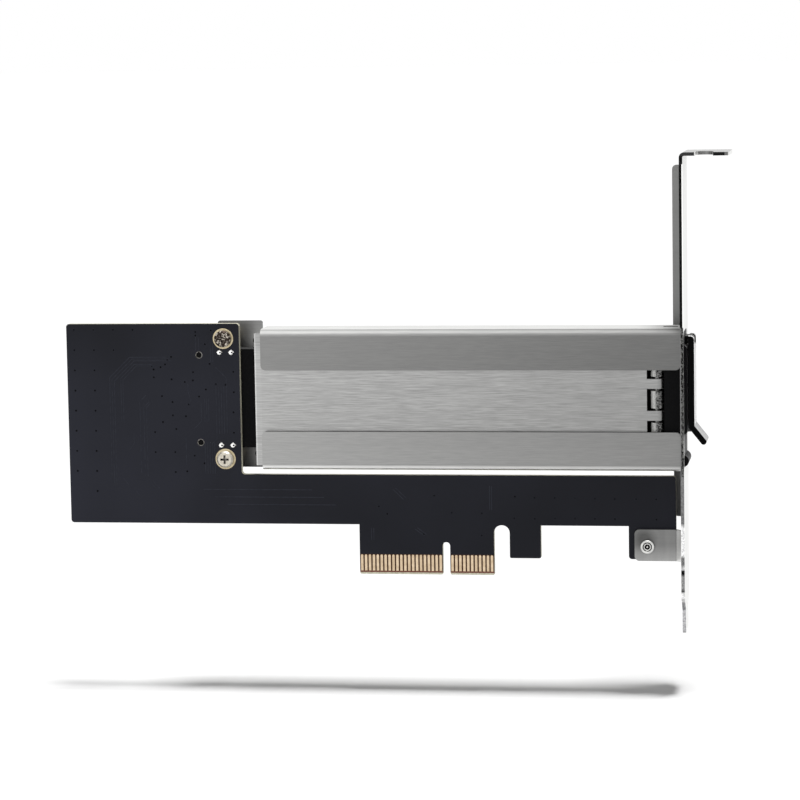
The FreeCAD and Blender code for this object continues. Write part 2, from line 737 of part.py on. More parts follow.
def top_bend(body):
    """The bend and the top tab, with the open notch for the chassis screw."""
    t = size.steel
    sketch = new_sketch(body, "XZ_Plane", size.bracket_near)
    outer = size.bracket_bend
    tip = bracket_out + size.tab_reach
    root = size.bracket_high - outer - t
    outline(sketch, [
        (size.bracket_x, root),
        (bracket_out, root),
        (bracket_out, size.bracket_high - t, outer - t),
        (tip, size.bracket_high - t),
        (tip, size.bracket_high),
        (size.bracket_x, size.bracket_high, outer),
    ])
    raise_sketch(body, sketch, "Pad", size.bracket_width, True)
    notch_x = size.bracket_x + size.notch_x
    notch_end = size.bracket_near + size.notch_depth
    cut_column(body, size.bracket_high - t, t, [
        (notch_x - size.notch, size.bracket_near),
        (notch_x + size.notch, size.bracket_near),
        (notch_x + size.notch, notch_end, size.notch * 0.98),
        (notch_x - size.notch, notch_end, size.notch * 0.98),
    ])
    soften(body, "Fillet", size.tab_round, lambda edge: is_tab_corner(edge, tip.number))


def is_tab_corner(edge, tip):
    """Whether an edge is one of the outer corners of the top tab."""
    ends = [v.Point for v in edge.Vertexes]
    if len(ends) != 2 or abs(ends[0].z - ends[1].z) < 0.5 * size.steel.number:
        return False
    return all(abs(p.x - tip) < NEAR for p in ends)


def tab_fasteners():
    """Low-head screws that fix the bracket to the cage's tab, along X."""
    body = new_body("cage_screws")
    add_bar(body, bracket_out, size.low_head, rounds=[(tab_screws, size.head)])
    shank = size.steel + size.sheet + size.low_head
    add_bar(body, bracket_out - shank, shank, rounds=[(tab_screws, size.thread)])
    depth = size.recess_depth * 0.75
    for y, z in tab_screws:
        cut_bar(body, bracket_out + size.low_head - depth, depth, cross_corners(
            y, z, size.recess_span, size.recess_width
        ))


def drive_socket():
    """Edge socket for the drive, with its locating pegs through the board."""
    body = new_body("drive_socket")
    add_plate(body, far_face, size.socket_rise, box_corners(
        size.socket_left, size.socket_low, size.socket_right, size.socket_high,
        size.corner_round,
    ))
    half = size.drive_width * 0.5 + size.slot_play
    cut_bar(body, size.socket_right - size.drive_deep, size.drive_deep, box_corners(
        size.drive_level - size.slot_play, middle - half,
        size.drive_level + size.drive_thick + size.slot_play, middle + half,
    ))
    add_plate(body, ZERO, far_face, rounds=[(pegs, size.peg)])


def socket_leaves():
    """Contact leaves along the far wall of the socket's slot."""
    body = new_body("socket_contacts")
    wall = size.drive_level + size.drive_thick + size.slot_play
    reach = size.leaf_pitch * (size.leaf_count.number - 1)
    first = middle - reach * 0.5
    half = size.leaf_width * 0.5
    leaf = add_bar(body, size.socket_right - size.drive_deep, size.drive_deep, box_corners(
        wall - size.leaf_thick, first - half, wall, first + half,
    ))
    repeat(body, leaf, "Z_Axis", reach, size.leaf_count)


def socket_anchor_pins():
    """Soldered anchor pins of the socket, seen on the solder face."""
    body = new_body("socket_anchors")
    for centre in anchors:
        add_plate(body, -size.anchor_out, size.anchor_out + far_face, square(centre, size.anchor))


def block(name, left, low, width, height, rise):
    """A plain component on the component face."""
    body = new_body(name)
    add_plate(body, far_face, rise, box_corners(left, low, left + width, low + height))
    return body


def board_components():
    """Power parts on the component face."""
    block("power_coil", size.coil_left, size.coil_low, size.coil_side, size.coil_side,
          size.coil_rise)
    block("power_chip", size.chip_left, size.chip_low, size.chip_side, size.chip_side,
          size.chip_rise)
    row = block("capacitors", size.cap_left, size.cap_low, size.cap_width, size.cap_long,
                size.cap_rise)
    reach = size.cap_pitch * (size.cap_count.number - 1)
    repeat(row, row.Tip, "X_Axis", reach, size.cap_count)


def hinge_centres():
    """Middles of the three base knuckles, then of the two lid knuckles."""
    base = [middle + size.hinge_step * n for n in (-1, 0, 1)]
    lid = [middle + size.hinge_step * n for n in (-0.5, 0.5)]
    return base, lid


hinge_x = size.tray_right - size.knuckle
hinge_y = tray_near + size.knuckle


def tray_base():
    """Folded tray: back, two long walls and an end wall that carries the hinge."""
    body = new_body("tray_base")
    t = size.sheet
    add_bar(body, size.tray_left, size.tray_right - size.tray_left, [
        (base_near, tray_low), (tray_far, tray_low), (tray_far, tray_high),
        (base_near, tray_high), (base_near, tray_high - t), (tray_far - t, tray_high - t),
        (tray_far - t, tray_low + t), (base_near, tray_low + t),
    ])
    wall_near = hinge_y + size.knuckle + size.gap
    add_bar(body, size.tray_right - t, t, box_corners(
        wall_near, tray_low + t, tray_far - t, tray_high - t
    ))
    half = size.knuckle_long * 0.5
    for z in hinge_centres()[0]:
        add_bar(body, size.tray_right - t, t, box_corners(
            hinge_y, z - half, wall_near, z + half
        ))
        add_column(body, z - half, size.knuckle_long, rounds=[
            (((hinge_x, hinge_y),), size.knuckle)
        ])
        cut_column(body, z - half, size.knuckle_long, rounds=[
            (((hinge_x, hinge_y),), size.hinge_pin + size.fixed_play)
        ])
    spare = ((drive_end - size.drive_step, middle),)
    cut_plate(body, tray_far - t, t, rounds=[(spare, size.thread + size.thread_play)])
    cut_bar(body, size.tray_right - t, t, rounds=[(bezel_pegs(), size.stake + size.fixed_play)])


def bezel_pegs():
    """The bezel's pegs through the tray's end wall, in Y and Z."""
    y = (base_near + tray_far) * 0.5 + size.gap
    return ((y, middle - size.hinge_step), (y, middle + size.hinge_step))


def tray_cover():
    """Lid of the tray: a flat plate, a turned-down end and two hinge knuckles."""
    body = new_body("tray_cover")
    t = size.sheet
    left, right = size.lid_left, size.tray_right
    half = size.window_long * 0.5
    cut = right - size.window_deep
    corners = [(left, tray_low), (right, tray_low)]
    base, _ = hinge_centres()
    for n, z in enumerate(base):
        corners += [(hinge_x if n else right, z - half), (cut, z - half)]
        corners += [(cut, z + half), (hinge_x if n < 2 else right, z + half)]
    corners += [(right, tray_high), (left, tray_high)]
    add_plate(body, tray_near, t, corners)
    add_plate(body, tray_near, size.lid_turn, box_corners(
        left, tray_low, left + t, tray_high
    ))
    _, lid = hinge_centres()
    long = size.hinge_step - size.window_long
    for z in lid:
        add_column(body, z - long * 0.5, long, rounds=[(((hinge_x, hinge_y),), size.knuckle)])
        cut_column(body, z - long * 0.5, long, rounds=[
            (((hinge_x, hinge_y),), size.hinge_pin + size.running_play)
        ])


def lid_pin():
    """Hinge pin of the lid."""
    body = new_body("hinge_pin")
    length = size.hinge_step * 2 + size.knuckle_long
    add_column(body, middle - length * 0.5, length, rounds=[
        (((hinge_x, hinge_y),), size.hinge_pin)
    ])


def drive_seat():
    """Threaded post for the free end of the drive, and the heat pad on the lid."""
    centre = ((drive_end, middle),)
    seat_top = size.drive_level + size.drive_thick
    floor = tray_far - size.sheet
    body = new_body("drive_post")
    add_plate(body, seat_top, floor - seat_top, rounds=[(centre, size.seat)])
    cut_plate(body, seat_top, floor - seat_top, rounds=[(centre, size.thread + size.thread_play)])
    pad = new_body("heat_pad")
    half = size.drive_width * 0.5
    add_plate(pad, base_near, size.pad_thick, box_corners(
        size.pad_left, middle - half, size.pad_right, middle + half
    ))


def tray_bezel():
    """Moulded front of the tray, with the lever's hinge lug, a foot bead and two pegs."""
    body = new_body("tray_bezel")
    width = tray_far - tray_near
    step = size.bulge_rise
    add_plate(body, tray_near, width, [
        (size.tray_right, tray_low), (size.bezel_face, tray_low),
        (size.bezel_face, size.bulge_low), (bulge_face, size.bulge_low + step),
        (bulge_face, size.bulge_high - step), (size.bezel_face, size.bulge_high),
        (size.bezel_face, tray_high), (size.tray_right, tray_high),
    ])
    bead = ((size.bezel_face - size.bead_back, tray_low + size.bead),)
    add_plate(body, tray_near, width, rounds=[(bead, size.bead)])
    start = tray_near + size.side_gap + size.ear + size.side_gap
    long = width - (size.side_gap + size.ear + size.side_gap) * 2
    axis_x, axis_z = lever_axis
    add_plate(body, start, long, box_corners(
        size.tray_right + size.sheet, axis_z - size.hinge_lug, axis_x, axis_z + size.hinge_lug
    ))
    add_plate(body, start, long, rounds=[((lever_axis,), size.hinge_lug)])
    cut_plate(body, start, long, rounds=[((lever_axis,), size.lever_pin + size.fixed_play)])
    add_bar(body, size.tray_right - size.sheet, size.sheet, rounds=[(bezel_pegs(), size.stake)])


def lever():
    """Pull lever: two ears on the pin, a flat arm and a tail bent out for a finger."""
    body = new_body("lever")
    thick = size.lever_thick
    inner, outer = lever_inner, lever_inner + thick
    shoulder = size.lever_axis_z - size.hinge_lug - size.gap
    top = size.lever_axis_z + size.lever_rise
    edge = tray_near + size.side_gap
    wide = tray_far - tray_near - size.side_gap * 2
    knee = size.lever_knee
    foot = knee - size.tail_drop
    tail = diagonal(size.tail_out, size.tail_drop)
    across_x = size.tail_drop / tail
    across_z = size.tail_out / tail
    add_plate(body, edge, wide, [
        (inner, shoulder), (inner, knee), (inner + size.tail_out, foot),
        (inner + size.tail_out + thick * across_x, foot + thick * across_z),
        (outer, knee + thick * (as_term(1) - across_x) / across_z), (outer, shoulder),
    ])
    tip = (inner + size.tail_out + thick * 0.5 * across_x, foot + thick * 0.5 * across_z)
    add_plate(body, edge, wide, rounds=[((tip,), thick * 0.5)])
    for start in (edge, edge + wide - size.ear):
        add_plate(body, start, size.ear, [
            (inner, shoulder), (outer, shoulder), (outer, top, size.lever_round), (inner, top),
        ])
    bore = size.lever_pin + size.running_play
    pin_start = edge + size.ear * 0.5
    pin_long = wide - size.ear * 0.5
    cut_plate(body, pin_start, pin_long, rounds=[((lever_axis,), bore)])
    pin = new_body("lever_pin")
    add_plate(pin, pin_start, pin_long, rounds=[((lever_axis,), size.lever_pin)])


main_board()
edge_contacts("edge_contacts_solder_side", -size.finger_thick)
edge_contacts("edge_contacts_component_side", far_face)
cage()
posts_between()
ring_pads()
screws_along_y("board_screws", posts, -size.finger_thick, 1, far_face + size.screw_reach * 0.75)
bracket()
screws_along_y("lug_screw_group", lug_screw, far_face, -1, far_face + size.steel + size.collar_rise)
tab_fasteners()
drive_socket()
socket_leaves()
socket_anchor_pins()
board_components()
tray_base()
tray_cover()
lid_pin()
drive_seat()
tray_bezel()
lever()

doc.recompute()
for item in doc.Objects:
    if "Invalid" in item.State or "Error" in item.State:
        raise RuntimeError(f"{item.Label}: {item.State}")

bodies = [item for item in doc.Objects if item.TypeId == "PartDesign::Body"]
for body in bodies:
    shape = body.Shape
    if shape.isNull() or not shape.isValid() or not shape.Solids:
        raise RuntimeError(f"{body.Label}: no valid solid")

os.makedirs("parts", exist_ok=True)
for body in bodies:
    body.Shape.exportStep(f"parts/{body.Label}.step")
    print(body.Label, len(body.Shape.Solids), round(body.Shape.Volume, 2))
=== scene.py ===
"""Looks for the drive adapter card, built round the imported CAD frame. Metres."""

import json
import math

import bmesh
import bpy
from mathutils import Matrix, Vector


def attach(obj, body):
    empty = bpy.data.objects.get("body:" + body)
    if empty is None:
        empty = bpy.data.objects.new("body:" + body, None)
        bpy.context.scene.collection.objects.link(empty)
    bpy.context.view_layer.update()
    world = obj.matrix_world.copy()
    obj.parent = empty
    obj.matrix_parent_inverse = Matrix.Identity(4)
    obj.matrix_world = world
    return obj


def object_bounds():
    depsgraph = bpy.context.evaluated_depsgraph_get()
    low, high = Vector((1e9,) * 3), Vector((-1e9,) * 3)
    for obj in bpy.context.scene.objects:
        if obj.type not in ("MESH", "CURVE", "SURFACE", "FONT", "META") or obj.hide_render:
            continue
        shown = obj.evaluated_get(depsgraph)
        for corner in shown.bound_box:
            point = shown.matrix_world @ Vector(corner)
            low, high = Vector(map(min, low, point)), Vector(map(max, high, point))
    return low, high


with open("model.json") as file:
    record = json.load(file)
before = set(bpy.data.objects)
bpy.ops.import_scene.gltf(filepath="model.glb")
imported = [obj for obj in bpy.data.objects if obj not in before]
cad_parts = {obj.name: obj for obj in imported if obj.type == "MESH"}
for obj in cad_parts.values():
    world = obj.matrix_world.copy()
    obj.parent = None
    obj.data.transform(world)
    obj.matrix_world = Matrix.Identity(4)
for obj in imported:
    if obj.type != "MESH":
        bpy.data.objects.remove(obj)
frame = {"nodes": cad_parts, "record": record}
cad_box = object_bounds()
nodes = frame["nodes"]

MM = 0.001

# Camera
IMAGE = 800
FOCAL_PX = 3153.4
SENSOR = 36.0
DISTANCE = 790.2 * MM
AZIMUTH = math.radians(8.77)
ELEVATION = math.radians(6.48)
ROLL = math.radians(-0.94)
TARGET = Vector((-11.18, 0.0, 44.27)) * MM
CLIP_NEAR, CLIP_FAR = 0.01, 20

# Floor and light
FLOOR_SIZE = 40.0
FLOOR_DROP = 15.7 * MM
WORLD_FILL = 0.21
WHITE = 1.0
SUN = 3.4
SUN_ANGLE = math.radians(13)
SUN_AIM = (-0.13, 0.03, -1.0)
FRONT_PLACE = Vector((-300, -900, 500)) * MM
FRONT_AIM = Vector((-10, 0, 40)) * MM
FRONT_SIZE = 0.8
FRONT_POWER = 3.3

# Materials: stretch of the brush lines and clouds, heights of the bumps, limits of directions
FINE_LINES = (260, 7000, 7000)
LONG_LINES = (100, 4000, 4000)
CLOUDS = (9, 40, 40)
UPRIGHT_LINES = (700, 700, 60)
LINE_BUMP = 0.02 * MM
GRAIN_BUMP = 0.03 * MM
SQUARE_ON = 0.8
HALF_TURNED = 0.5

# Small forms. What has no MM after it is in millimetres
VIA_START = (-94.7, 62.1)
VIA_PITCH = (5.1, 5.16)
VIA_RING = 0.34 * MM
VIA_CREST = 0.289 * MM
VIA_HOLE = 0.26 * MM
VIA_STEPS = 16
ROUND_STEPS = 40
PLUG_STEPS = 32
CONE_SIDES = 4
TRACE_WIDTH = 0.2 * MM
TRACE_CREST = 0.6
TRACE_RISE = 0.02 * MM
SKIN = 0.004 * MM
BOARD_BACK = 1.6
CONTACT_HALF = 0.31
CONTACT_TOP = 4.75
CONTACT_RISE = 0.04
CONTACT_STEPS = 8
CONTACTS = [-1.5 - n for n in range(21)] + [1.5 + n for n in range(11)]
PEG_HOLES = ((-62.4, 33.4), (-62.4, 55.65))
ANCHORS = ((-57.1, 32.7), (-57.1, 56.3), (-54.1, 32.7), (-54.1, 56.3))
ARM_NOTCHES = ((-49.4, 58.4), (-49.4, 29.4))
COLLAR = (50.6, 7.7)
COLLAR_FACE = 1.46


def grey(level):
    return (level, level, level)


def new_material(name, roughness, metallic=0.0, specular=0.5):
    material = bpy.data.materials.new(name)
    material.use_nodes = True
    shader = material.node_tree.nodes["Principled BSDF"]
    shader.inputs["Roughness"].default_value = roughness
    shader.inputs["Metallic"].default_value = metallic
    shader.inputs["Specular IOR Level"].default_value = specular
    return material, shader


class Tree:
    """Short calls for the nodes of one material."""

    def __init__(self, material):
        self.tree = material.node_tree
        self.outputs = self.add("ShaderNodeTexCoord").outputs
        self.coords = self.outputs["Object"]

    def add(self, kind):
        return self.tree.nodes.new(kind)

    def link(self, source, target):
        self.tree.links.new(source, target)

    def feed(self, value, socket):
        """A number is set on the socket, and an output is linked to it."""
        if isinstance(value, (int, float)):
            socket.default_value = value
        else:
            self.link(value, socket)

    def scaled(self, scale):
        mapping = self.add("ShaderNodeMapping")
        mapping.inputs["Scale"].default_value = scale
        self.link(self.coords, mapping.inputs["Vector"])
        return mapping.outputs["Vector"]

    def noise(self, vector, scale, detail=3.0):
        noise = self.add("ShaderNodeTexNoise")
        noise.inputs["Scale"].default_value = scale
        noise.inputs["Detail"].default_value = detail
        self.link(vector, noise.inputs["Vector"])
        return noise.outputs["Fac"]

    def ramp(self, factor, *stops):
        """Colours at rising places of a factor. A lone number is a grey."""
        ramp = self.add("ShaderNodeValToRGB")
        elements = ramp.color_ramp.elements
        while len(elements) < len(stops):
            elements.new(0.5)
        for element, (place, colour) in zip(elements, stops):
            element.position = place
            element.color = (*(colour if isinstance(colour, tuple) else grey(colour)), 1.0)
        self.link(factor, ramp.inputs["Fac"])
        return ramp.outputs["Color"]

    def span(self, factor, low, high, start=0.3, end=0.7):
        """Map a factor between start and end onto low to high."""
        reach = self.add("ShaderNodeMapRange")
        for socket, value in zip(reach.inputs[1:5], (start, end, low, high)):
            socket.default_value = value
        self.link(factor, reach.inputs["Value"])
        return reach.outputs["Result"]

    def math(self, operation, one, other=0.0):
        step = self.add("ShaderNodeMath")
        step.operation = operation
        for socket, value in zip(step.inputs, (one, other)):
            self.feed(value, socket)
        return step.outputs["Value"]

    def above(self, value, limit):
        return self.math("GREATER_THAN", value, limit)

    def below(self, value, limit):
        return self.math("LESS_THAN", value, limit)

    def times(self, first, *others):
        """The product of several factors: 1 where all masks are 1."""
        for other in others:
            first = self.math("MULTIPLY", first, other)
        return first

    def away(self, value, place):
        """How far a value is from a place."""
        return self.math("ABSOLUTE", self.math("SUBTRACT", value, place))

    def mix(self, factor, one, other, blend="MIX"):
        mixer = self.add("ShaderNodeMix")
        mixer.data_type = "RGBA"
        mixer.blend_type = blend
        self.feed(factor, mixer.inputs["Factor"])
        for socket, value in ((mixer.inputs[6], one), (mixer.inputs[7], other)):
            if isinstance(value, tuple):
                socket.default_value = (*value, 1.0)
            else:
                self.link(value, socket)
        return mixer.outputs[2]

    def shaded(self, colour, amount):
        """A colour times a number."""
        scale = self.add("ShaderNodeVectorMath")
        scale.operation = "SCALE"
        self.link(colour, scale.inputs[0])
        self.feed(amount, scale.inputs["Scale"])
        return scale.outputs["Vector"]

    def split(self, vector):
        parts = self.add("ShaderNodeSeparateXYZ")
        self.link(vector, parts.inputs["Vector"])
        return parts.outputs

    def axes(self):
        """The place along each axis of the piece."""
        return self.split(self.coords)

    def normals(self):
        """The surface's direction along each axis of the piece, from -1 to 1."""
        return self.split(self.outputs["Normal"])

    def facing(self):
        """How far the surface faces along each axis, from 0 to 1."""
        return [self.math("ABSOLUTE", socket) for socket in self.normals()]

    def grazing(self):
        """0 where the surface faces the eye, 1 where it is seen along its plane."""
        layer = self.add("ShaderNodeLayerWeight")
        return self.span(layer.outputs["Facing"], 0.0, 1.0, 0.7, 0.88)

    def bump(self, shader, height, strength, distance):
        bump = self.add("ShaderNodeBump")
        bump.inputs["Strength"].default_value = strength
        bump.inputs["Distance"].default_value = distance
        self.link(height, bump.inputs["Height"])
        self.link(bump.outputs["Normal"], shader.inputs["Normal"])


def brushed(name, dark, light, lines=FINE_LINES):
    """Sheet steel with fine brush lines, along the card unless told otherwise."""
    material, shader = new_material(name, 0.3, metallic=1.0)
    tree = Tree(material)
    fine = tree.noise(tree.scaled(lines), 1.0, 5.0)
    long = tree.noise(tree.scaled(LONG_LINES), 1.0, 2.0)
    broad = tree.noise(tree.scaled(CLOUDS), 1.0, 1.0)
    streaks = tree.math("ADD", tree.times(fine, 0.7), tree.times(long, 0.3))
    colour = tree.ramp(streaks, (0.38, dark), (0.62, light))
    colour = tree.shaded(colour, tree.span(broad, 0.95, 1.05))
    tree.link(tree.span(fine, 0.3, 0.42), shader.inputs["Roughness"])
    tree.bump(shader, fine, 0.12, LINE_BUMP)
    return material, shader, tree, colour


def plain_metal(name, dark, light, roughness, grain):
    material, shader = new_material(name, roughness[0], metallic=1.0)
    tree = Tree(material)
    cloud = tree.noise(tree.coords, grain, 4.0)
    tree.link(tree.ramp(cloud, (0.35, dark), (0.65, light)), shader.inputs["Base Color"])
    tree.link(tree.span(cloud, *roughness), shader.inputs["Roughness"])
    return material


def plastic(name, dark, light, roughness, grain, specular=0.06, sheen=0.25):
    """Moulded or painted, with a pale sheen painted into its colour where it is seen along its
    surface: a painted highlight.
    """
    material, shader = new_material(name, roughness[0], specular=specular)
    tree = Tree(material)
    cloud = tree.noise(tree.coords, grain, 3.0)
    colour = tree.ramp(cloud, (0.35, dark), (0.65, light))
    # Painted sheen: pale grey mixed into the colour at grazing angles
    pale = tree.times(tree.grazing(), sheen)
    tree.link(tree.mix(pale, colour, grey(0.6)), shader.inputs["Base Color"])
    tree.link(tree.span(cloud, *roughness), shader.inputs["Roughness"])
    tree.bump(shader, cloud, 0.15, GRAIN_BUMP)
    return material


def board_material():
    """Dark solder mask, bare laminate round the contacts and pale laminate on the cut edges."""
    contacts_left, contacts_right, contacts_top = -22.2 * MM, 12.3 * MM, 5.15 * MM
    red_line, bevel_top = 0.97 * MM, 0.5 * MM
    material, shader = new_material("board", 0.45, specular=0.09)
    tree = Tree(material)
    cloud = tree.noise(tree.coords, 26, 2.0)
    weave = tree.noise(tree.coords, 1500, 2.0)
    mask = tree.ramp(cloud, (0.32, (0.0105, 0.0112, 0.0155)), (0.68, (0.0175, 0.0185, 0.026)))
    laminate = tree.ramp(weave, (0.3, (0.045, 0.02, 0.01)), (0.7, (0.07, 0.032, 0.018)))
    edge = tree.ramp(weave, (0.3, (0.42, 0.4, 0.3)), (0.7, (0.6, 0.58, 0.46)))
    x, _, z = tree.axes()
    # Painted light and shade: the mask is lighter to the left, darker to the right and darker
    # towards the top
    mask = tree.shaded(mask, tree.span(x, 1.18, 0.6, -75 * MM, 40 * MM))
    mask = tree.shaded(mask, tree.span(z, 1.0, 0.75, 48 * MM, 63 * MM))
    tongue = tree.times(
        tree.below(z, contacts_top), tree.above(x, contacts_left), tree.below(x, contacts_right),
    )
    flat = tree.facing()[1]
    side = tree.below(flat, HALF_TURNED)
    bevel = tree.times(tree.below(flat, 0.98), tree.below(z, bevel_top))
    laminate = tree.mix(tree.below(z, red_line), laminate, (0.16, 0.065, 0.045))
    bare = tree.mix(tongue, mask, laminate)
    cut = tree.math("MAXIMUM", side, bevel)
    tree.link(tree.mix(cut, bare, edge), shader.inputs["Base Color"])
    tree.link(tree.span(cloud, 0.38, 0.52), shader.inputs["Roughness"])
    tree.bump(shader, weave, 0.1, LINE_BUMP)
    return material


def cage_material():
    """Brushed sheet with painted light and shade: painted highlights on the bends and the top, lit
    and shaded lips, painted shadow on the lower lip's cut face, painted shade in the slot, the
    arms behind painted lighter, and the plain rest.
    """
    between_lips, arms_end, lips_back = 45 * MM, -46.35 * MM, 4 * MM
    slot_left, slot_right, slot_front, slot_back = 54.5 * MM, 58.3 * MM, 3.5 * MM, 5.3 * MM
    material, shader, tree, colour = brushed("cage_steel", (0.176, 0.176, 0.174),
                                             (0.204, 0.204, 0.2))
    x, y, z = tree.axes()
    slope = tree.normals()[2]
    upper = tree.above(z, between_lips)
    # Painted light and shade on the lips at the front: the upper lip lighter, the lower one
    # darker, both lighter to the left; further back the plain colour
    lip = tree.mix(upper, tree.shaded(colour, 1.27), tree.shaded(colour, 0.83))
    lip = tree.shaded(lip, tree.span(x, 1.22, 0.8, -46 * MM, 59 * MM))
    lip = tree.mix(tree.above(y, lips_back), lip, colour)
    # Painted highlights: bends that face up are painted brighter, those that face down much
    # brighter
    bend_highlight = tree.times(tree.span(slope, 1.0, 2.6, 0.1, 0.45), tree.span(slope, 1.0, 0.6, 0.6, 0.92))
    under = tree.span(slope, 3.2, 1.0, -0.7, -0.15)
    lip = tree.shaded(lip, tree.times(bend_highlight, under))
    # Painted light: the top face is painted much brighter
    top = tree.above(slope, 0.95)
    lip = tree.mix(top, lip, tree.shaded(colour, 2.65))
    # Painted shadow: the lower lip's upward cut face at the front is painted near black
    cut = tree.times(top, tree.math("SUBTRACT", 1.0, upper), tree.below(y, -0.7 * MM))
    lip = tree.mix(cut, lip, grey(0.01))
    # Painted shade: the sides of the slot are painted near black
    slot = tree.times(
        tree.above(x, slot_left), tree.below(x, slot_right), tree.below(slope, 0.3),
        tree.above(y, slot_front), tree.below(y, slot_back),
    )
    lip = tree.mix(slot, lip, grey(0.008))
    # Painted light: the arms behind the board are painted lighter, the lower arm most
    arms = tree.mix(upper, tree.shaded(colour, 1.1),
                    tree.shaded(colour, tree.span(z, 1.9, 1.1, 56 * MM, 63 * MM)))
    tree.link(tree.mix(tree.below(x, arms_end), lip, arms), shader.inputs["Base Color"])
    tree.link(tree.span(slope, 0.36, 0.8, 0.05, 0.3), shader.inputs["Roughness"])
    return material


def cover_material():
    """Brushed sheet with painted light: lighter to the left, and a painted highlight on the folded
    left end that dims towards the top.
    """
    fold_start, fold_end, end = -47.9 * MM, -47.6 * MM, -46.4 * MM
    material, shader, tree, colour = brushed("cover_steel", (0.235, 0.235, 0.232),
                                             (0.335, 0.335, 0.33))
    x, _, z = tree.axes()
    # Painted light: lighter to the left, darker to the right
    colour = tree.shaded(colour, tree.span(x, 1.14, 0.88, -48 * MM, 55 * MM))
    # Painted highlight on the folded left end, dimmer towards the top
    fold_highlight = tree.times(
        tree.span(x, 1.6, 1.04, fold_start, fold_end), tree.span(z, 1.0, 0.82, 56 * MM, 60 * MM),
    )
    colour = tree.mix(tree.below(x, end), colour, tree.shaded(colour, fold_highlight))
    tree.link(colour, shader.inputs["Base Color"])
    return material


def knuckle_material():
    """Plain sheet whose rolled knuckles carry a painted highlight on the side that faces left and
    are mottled on the other, with painted shade in the hollow at the right end.
    """
    hollow_left, hollow_front = 46 * MM, 2.6 * MM
    material, shader = new_material("knuckle_steel", 0.3, metallic=1.0)
    tree = Tree(material)
    cloud = tree.noise(tree.coords, 2600, 4.0)
    mottled = tree.ramp(cloud, (0.44, 0.02), (0.62, (0.2, 0.2, 0.196)))
    x, y, _ = tree.axes()
    # Painted highlight: what faces left is painted pale and less metallic
    bright = tree.span(tree.normals()[0], 1.0, 0.0, -0.75, -0.1)
    # Painted shade: the hollow at the right end, behind the front, is painted near black
    deep_shade = tree.times(tree.above(x, hollow_left), tree.above(y, hollow_front))
    mottled = tree.mix(deep_shade, mottled, grey(0.006))
    tree.link(tree.mix(bright, mottled, (0.7, 0.7, 0.68)), shader.inputs["Base Color"])
    tree.link(tree.span(bright, 1.0, 0.25, 0.0, 1.0), shader.inputs["Metallic"])
    tree.link(tree.span(cloud, 0.25, 0.4), shader.inputs["Roughness"])
    return material


